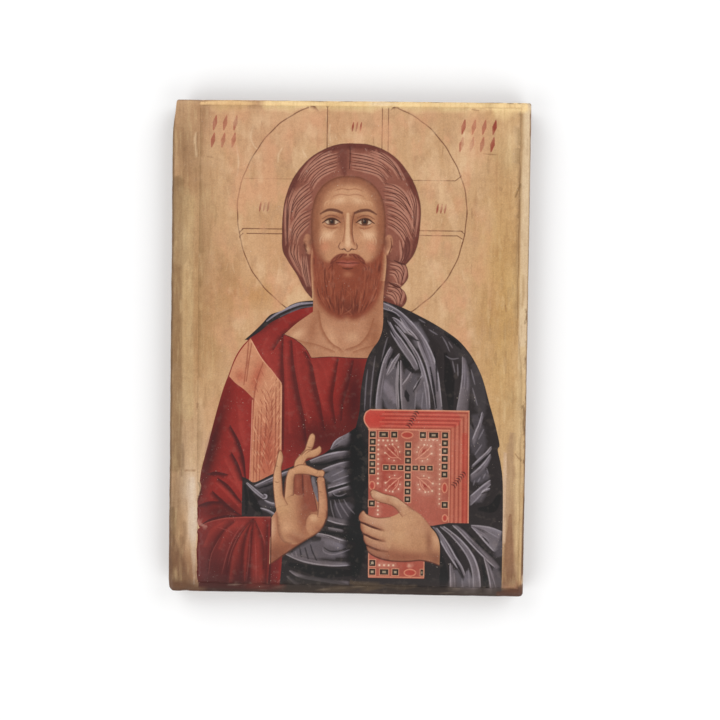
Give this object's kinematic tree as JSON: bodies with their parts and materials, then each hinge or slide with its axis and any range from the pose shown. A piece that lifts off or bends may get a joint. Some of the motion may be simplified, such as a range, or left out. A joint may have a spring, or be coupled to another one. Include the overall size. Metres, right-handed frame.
{
  "type": "icon panel",
  "caption": "Small devotional panel: a rectangular wooden board with worn, softened edges and a varnished paper picture of a haloed, robed figure glued to its face.",
  "frame": {"origin": "middle of the board's back, which is the underside of the panel as it lies", "axes": "+X to the right and +Y to the top of the picture as it is looked at, +Z out of the picture's face"},
  "size_m": [0.21, 0.29, 0.0186],
  "materials": {
    "gilded_wood": "wooden board painted in brushed antique gold with brown patina, rubbed at the edges, varnished",
    "printed_paper": "colour print on thin paper, glued down and varnished to a soft gloss, with fine wrinkles and scuffs"
  },
  "bodies": {
    "root": {"board": "gilded_wood", "picture_sheet": "printed_paper"}
  },
  "joints": []
}
